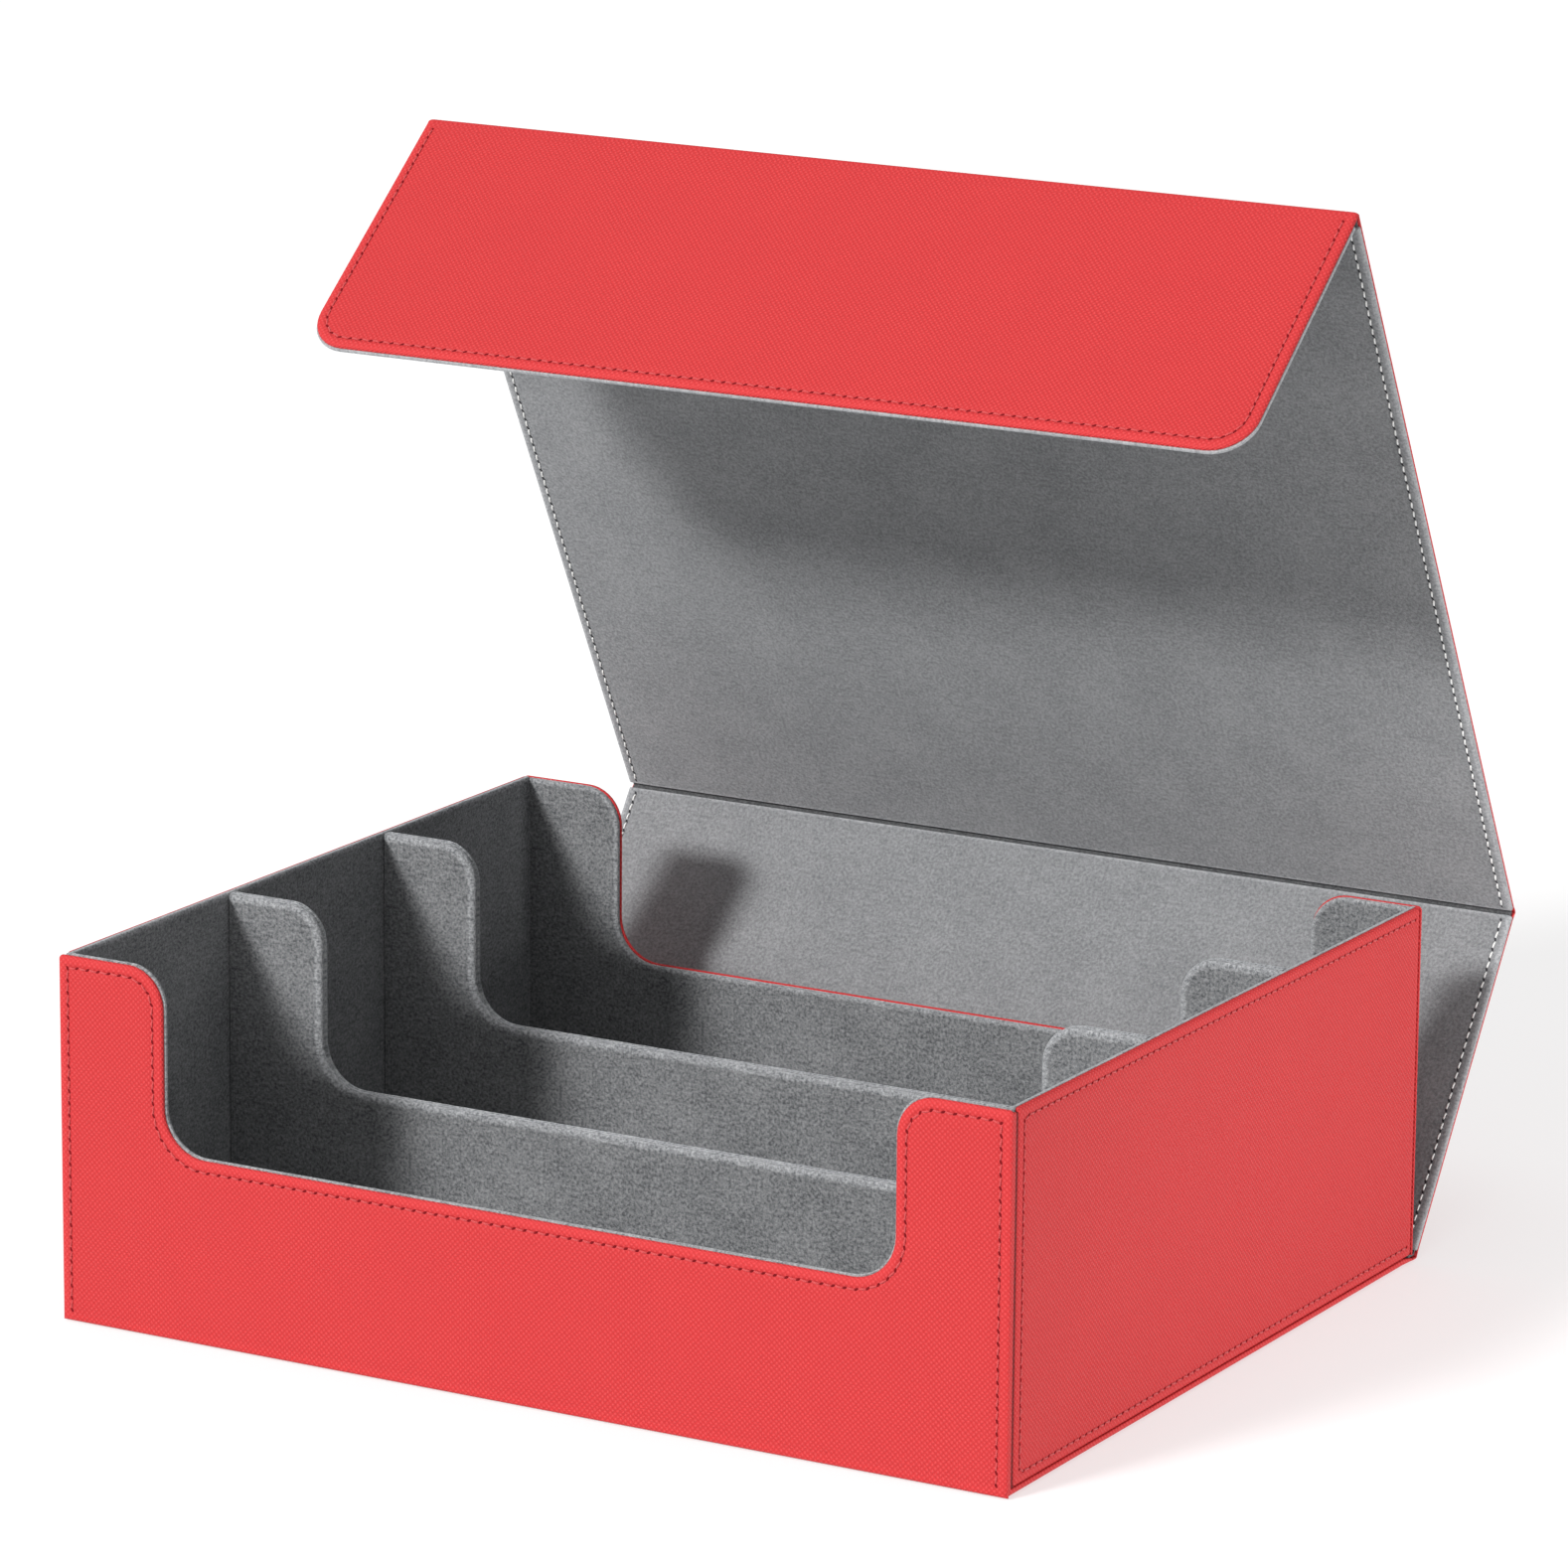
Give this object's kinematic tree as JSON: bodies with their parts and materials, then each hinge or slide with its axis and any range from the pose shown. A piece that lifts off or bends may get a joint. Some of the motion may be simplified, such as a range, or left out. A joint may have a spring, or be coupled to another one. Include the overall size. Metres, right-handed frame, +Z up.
{
  "type": "card deck box",
  "caption": "Open leather-covered trading card box with card rows between low-cut dividers and a fold-over lid with a magnetic flap.",
  "frame": {"origin": "centre of the tray's underside, on the table", "axes": "+X to the right, +Y to the rear, +Z up"},
  "size_m": [0.34, 0.3524, 0.3549],
  "materials": {
    "red_leather": "cross-grain artificial leather, satin",
    "grey_velvet": "short-pile velvet",
    "grey_board": "matt greyboard",
    "magnet_steel": "nickel-plated"
  },
  "bodies": {
    "tray": {"front_panel_skin": "red_leather", "front_panel_board": "grey_board", "front_panel_lining": "grey_velvet", "front_panel_magnet_left": "magnet_steel", "front_panel_magnet_right": "magnet_steel", "bottom_panel_skin": "red_leather", "bottom_panel_board": "grey_board", "rear_fold": "red_leather", "left_wall_skin": "red_leather", "left_wall_board": "grey_board", "left_wall_lining": "grey_velvet", "right_wall_skin": "red_leather", "right_wall_board": "grey_board", "right_wall_lining": "grey_velvet", "rear_wall_skin": "red_leather", "rear_wall_board": "grey_board", "rear_wall_lining": "grey_velvet", "front_divider_board": "grey_board", "front_divider_front_velvet": "grey_velvet", "front_divider_rear_velvet": "grey_velvet", "rear_divider_board": "grey_board", "rear_divider_front_velvet": "grey_velvet", "rear_divider_rear_velvet": "grey_velvet", "tray_floor_board": "grey_board", "front_row_floor": "grey_velvet", "middle_row_floor": "grey_velvet", "rear_row_floor": "grey_velvet"},
    "back_panel": {"back_panel_skin": "red_leather", "back_panel_board": "grey_board", "back_panel_lining": "grey_velvet", "lid_fold": "red_leather"},
    "lid": {"lid_skin": "red_leather", "lid_board": "grey_board", "lid_lining": "grey_velvet"},
    "flap_fold": {"flap_fold": "red_leather"},
    "flap": {"flap_skin": "red_leather", "flap_board": "grey_board", "flap_lining": "grey_velvet", "flap_magnet_left": "magnet_steel", "flap_magnet_right": "magnet_steel"}
  },
  "joints": [
    {"name": "rear_hinge", "type": "hinge", "parent": "tray", "child": "back_panel", "pos_m": [0, 0.142, 0.0015], "axis": [1, 0, 0], "range_deg": [-55.4, 34.6]},
    {"name": "lid_hinge", "type": "hinge", "parent": "back_panel", "child": "lid", "pos_m": [0, 0.21116, 0.10176], "axis": [1, 0, 0], "range_deg": [-62.3, 27.7]},
    {"name": "flap_fold_ease", "type": "hinge", "parent": "lid", "child": "flap_fold", "pos_m": [0, 0.07887, 0.35374], "axis": [1, 0, 0], "range_deg": [-11.8, 26.2]},
    {"name": "flap_hinge", "type": "hinge", "parent": "flap_fold", "child": "flap", "pos_m": [0, 0.07887, 0.35374], "axis": [1, 0, 0], "range_deg": [-127.4, 0]}
  ],
  "couplings": [
    {"joint": "flap_fold_ease", "follows": "lid_hinge", "ratio": -0.4152}
  ]
}
